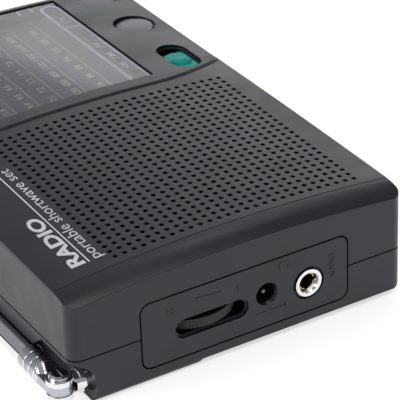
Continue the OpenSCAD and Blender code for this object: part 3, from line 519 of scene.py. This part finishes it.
def arc_band(r, width, a0, a1, cx=0.0, cy=0.0, steps=20):
    """Part of a flat ring in millimetres, angles in degrees."""
    turn = [math.radians(a0 + (a1 - a0) * k / steps) for k in range(steps + 1)]
    verts = [((cx + q * math.cos(a)) * MM, (cy + q * math.sin(a)) * MM, EMBOSS / 2)
             for a in turn for q in (r - width / 2, r + width / 2)]
    faces = [(2 * k, 2 * k + 1, 2 * k + 3, 2 * k + 2) for k in range(steps)]
    return mesh_object("arc", verts, faces)


def pad(x0, x1, y0, y1):
    """Small raised bar in millimetres."""
    return bar("pad", x0 * MM, x1 * MM, y0 * MM, y1 * MM, 0, EMBOSS / 2)


# headphone symbol, polarity symbol and socket word
for piece in (arc_band(1.05, 0.28, 0, 180), pad(-1.25, -0.75, -0.75, 0.05), pad(0.75, 1.25, -0.75, 0.05)):
    side_marks.append(on_left(piece, -9.4, 15.4))
for piece in (arc_band(0.8, 0.25, 50, 310), arc_band(0.15, 0.3, 0, 360), pad(-2.2, -0.9, -0.11, 0.11),
              pad(0.2, 2.2, -0.11, 0.11), pad(2.5, 3.5, -0.11, 0.11),
              pad(2.89, 3.11, -0.5, 0.5), pad(-3.5, -2.5, -0.11, 0.11)):
    side_marks.append(on_left(piece, -6.4, 6.5))
word = lettering("socket", "AUDIO", 1.25 * MM, EMBOSS)
word.data.transform(Matrix.Rotation(math.radians(90), 4, "Z"))
side_marks.append(on_left(word, -20.6, 11.6))
keep(join("side_marks", side_marks), "cabinet", looks["case_plastic"])


# slotted spring sleeve inside the earphone ring
def sleeve(x0, x1, y, z, r, gaps=4, span=64):
    """Thin tube along X between x0 and x1, in gaps curved leaves that each span so many degrees."""
    verts, faces = [], []
    for g in range(gaps):
        first = len(verts)
        for k in range(9):
            a = math.radians(45 + 360 / gaps * g - span / 2 + span * k / 8)
            for q, x in ((r, x0), (r, x1), (r - 0.16 * MM, x1), (r - 0.16 * MM, x0)):
                verts.append((x, y + q * math.cos(a), z + q * math.sin(a)))
        for k in range(8):
            i = first + 4 * k
            faces += [(i + m, i + (m + 1) % 4, i + 4 + (m + 1) % 4, i + 4 + m) for m in range(4)]
        faces += [tuple(first + m for m in (3, 2, 1, 0)), tuple(first + 32 + m for m in range(4))]
    return mesh_object("earphone_sleeve", verts, faces)


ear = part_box("earphone_ring")
ear_y, ear_z = (ear[0].y + ear[1].y) / 2, (ear[0].z + ear[1].z) / 2
keep(sleeve(ear[1].x - 1.6 * MM, ear[1].x + 4.0 * MM, ear_y, ear_z, 1.80 * MM),
     "cabinet", looks["brass"])


def lathe(name, profile, turns=64):
    """Turned piece on its own X axis from (x, radius) pairs in millimetres, with smooth sides."""
    verts, faces = [], []
    for x, r in profile:
        for k in range(turns):
            a = 2 * math.pi * k / turns
            verts.append((x * MM, r * MM * math.cos(a), r * MM * math.sin(a)))
    for i in range(len(profile) - 1):
        for k in range(turns):
            n = (k + 1) % turns
            faces.append((i * turns + k, i * turns + n, (i + 1) * turns + n, (i + 1) * turns + k))
    faces.append(tuple(reversed(range(turns))))
    faces.append(tuple((len(profile) - 1) * turns + k for k in range(turns)))
    obj = mesh_object(name, verts, faces)
    bm = bmesh.new()
    bm.from_mesh(obj.data)
    bmesh.ops.recalc_face_normals(bm, faces=bm.faces)
    for e in bm.edges:
        e.smooth = len(e.link_faces) == 2 and e.calc_face_angle(0) < 0.5
    for f in bm.faces:
        f.smooth = True
    bm.to_mesh(obj.data)
    bm.free()
    return obj


# pivot axis of the whip, its knuckle with ring grooves, and the domed head of the pivot screw
pin_lo, pin_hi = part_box("antenna_pivot_screw")
axis_x, axis_y = (pin_lo.x + pin_hi.x) / 2, (pin_lo.y + pin_hi.y) / 2
knuckle_lo, knuckle_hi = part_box("antenna_knuckle")
whip_z = (knuckle_lo.z + knuckle_hi.z) / 2
head = lathe("pivot_head", [(-0.02, 1.0), (0.0, 1.9), (0.12, 2.02),
                              (0.42, 2.02), (0.62, 1.90), (0.74, 1.60),
                            (0.78, 1.2), (0.70, 0.9), (0.66, 0.05)])
head.matrix_world = Matrix(((0, 0, -1, axis_x), (0, 1, 0, axis_y),
                            (1, 0, 0, pin_hi.z - 0.8 * MM), (0, 0, 0, 1)))
keep(join("pivot_head", [head]), "swivel", looks["whip_chrome"])
rings = []
for x in (9.6, 11.6, 13.8):
    # polished rings proud of the dull bands between them
    ring = lathe("ring", [(x, 2.2), (x + 0.05, 2.60), (x + 0.18, 2.68), (x + 0.42, 2.68), (x + 0.55, 2.60),
                          (x + 0.6, 2.2)])
    ring.location = (LEFT, axis_y, whip_z)
    rings.append(ring)
keep(join("knuckle_rings", rings), "whip_1", looks["whip_chrome"])
nose = lathe("knuckle_nose", [(7.0, 1.2), (7.15, 1.75), (7.6, 2.1), (8.4, 2.35), (9.3, 2.52), (9.7, 2.56)])
nose.location = (LEFT, axis_y, whip_z)
for v in nose.data.vertices:
    # flat cheeks, so that the nose fits between the fork's plates
    squeeze = min(1.0, max(0.0, (v.co.x / MM - 8.0) / 1.4))
    v.co.z *= 0.42 + 0.58 * squeeze if abs(v.co.z) > 0.4 * MM else 1.0
keep(join("knuckle_nose", [nose]), "whip_1", looks["whip_chrome"])

# ---- floor, light, camera ----

floor_mat, tree, shader, coords = base_graph("floor_paper")
cloud = noise(tree, coords, 60.0, 3.0)
tree.links.new(mix(tree, cloud, (0.86, 0.86, 0.865, 1), (0.90, 0.90, 0.90, 1)), shader.inputs["Base Color"])
tree.links.new(ramp(tree, cloud, 0.3, 0.7, 0.50, 0.62), shader.inputs["Roughness"])
shader.inputs["Emission Color"].default_value = (1.0, 1.0, 1.0, 1)
shader.inputs["Emission Strength"].default_value = 0.60
floor_bump = add(tree, "Bump", {"Height": noise(tree, coords, 1.2, 3.0),
                              "Distance": 0.01 * MM, "Strength": 0.4})
tree.links.new(floor_bump.outputs["Normal"], shader.inputs["Normal"])
FLOOR_Z = -0.00005
floor = mesh_object("floor", [(x, y, FLOOR_Z) for x, y in ((-3, -3), (3, -3), (3, 3), (-3, 3))],
                    [(0, 1, 2, 3)])
floor.data.materials.append(floor_mat)

world = bpy.data.worlds.new("studio")
bpy.context.scene.world = world
world.use_nodes = True
world.node_tree.nodes["Background"].inputs["Color"].default_value = (0.92, 0.96, 1.0, 1)
world.node_tree.nodes["Background"].inputs["Strength"].default_value = 0.34


def area_light(name, place, target, size, energy, colour=(1, 1, 1)):
    data = bpy.data.lights.new(name, "AREA")
    data.shape = "RECTANGLE"
    data.size, data.size_y = size
    data.energy = energy
    data.color = colour
    obj = bpy.data.objects.new(name, data)
    bpy.context.scene.collection.objects.link(obj)
    obj.location = place
    obj.rotation_euler = (Vector(target) - Vector(place)).to_track_quat("-Z", "Y").to_euler()
    return obj


area_light("key", (0.15, 0.95, 0.55), (0, 0, 0), (0.7, 0.45), 4.0)
area_light("far_softbox", (0.95, -0.65, 0.42), (0, 0, 0.02), (0.7, 0.3), 1.4)
area_light("edge_softbox", (0.42, -0.40, 0.80), (0, 0, 0.02), (0.22, 0.22), 0.35)
area_light("overhead", (-0.25, -0.1, 1.1), (0, 0, 0.01), (0.5, 0.5), 2.0, (1.0, 0.985, 0.96))


def flag(name, corners):
    """Black card out of view that gives the chrome something dark to reflect."""
    obj = mesh_object(name, corners, [(0, 1, 2, 3)])
    mat, tree, shader, coords = base_graph(name + "_paper")
    tree.links.new(mix(tree, noise(tree, coords, 30.0, 3.0), (0.01, 0.01, 0.01, 1), (0.02, 0.02, 0.02, 1)),
                   shader.inputs["Base Color"])
    shader.inputs["Roughness"].default_value = 0.9
    obj.data.materials.append(mat)


flag("flag_low", [(0.1, 0.60, 0.02), (1.5, 0.60, 0.02), (1.5, 0.60, 0.13), (0.1, 0.60, 0.13)])

camera = bpy.data.cameras.new("camera")
camera.sensor_width = 36.0
camera.lens = 206.2
camera.clip_start = 0.02
camera.clip_end = 20.0
eye = bpy.data.objects.new("camera", camera)
bpy.context.scene.collection.objects.link(eye)
right = Vector((-0.51896228, -0.85411808, -0.03406555))
up = Vector((0.41083859, -0.28417654, 0.86628826))
back = Vector((-0.74959309, 0.43557549, 0.49838157))
eye.matrix_world = Matrix(((right.x, up.x, back.x, -0.37564), (right.y, up.y, back.y, 0.19268),
                           (right.z, up.z, back.z, 0.24645), (0, 0, 0, 1)))
bpy.context.scene.camera = eye
bpy.context.scene.view_settings.view_transform = "Standard"
